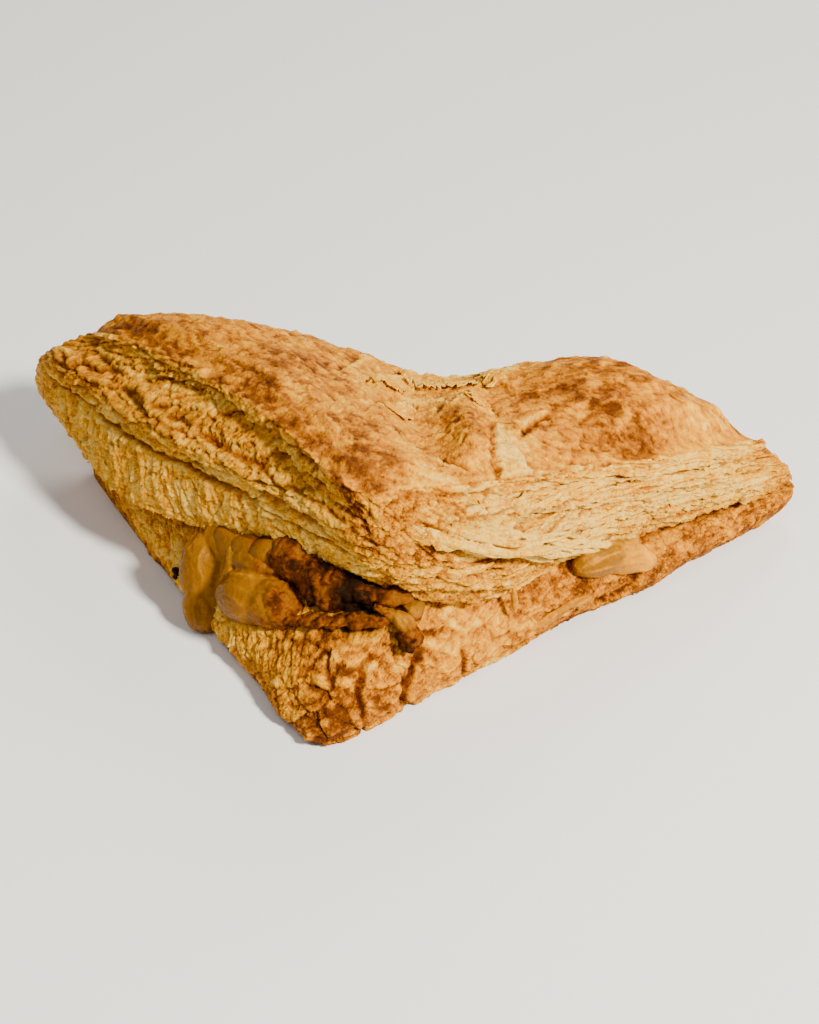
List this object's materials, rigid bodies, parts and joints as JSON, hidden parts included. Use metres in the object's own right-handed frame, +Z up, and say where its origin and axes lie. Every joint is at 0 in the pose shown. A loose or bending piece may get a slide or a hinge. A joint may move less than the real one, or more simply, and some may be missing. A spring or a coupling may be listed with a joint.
{
  "type": "cheese puff pastry",
  "caption": "Baked puff pastry folded corner to corner into a triangle over a slab of melted cheese that runs out at the open sides; rests on its flat base.",
  "frame": {"origin": "bottom centre of the bounding box, on the flat base", "axes": "+Z up; the fold runs along X at the back, towards +Y, with a tip at each end; the open right-angled corner points along -Y"},
  "size_m": [0.1566, 0.0948, 0.043],
  "materials": {
    "baked_pastry": "dry flaky crust, golden brown with paler leaves at the cut sides",
    "melted_cheese": "glossy melted cheese, burnt dark brown at its edges"
  },
  "bodies": {
    "root": {"folded_pastry": "baked_pastry", "cheese_filling": "melted_cheese"}
  },
  "joints": []
}
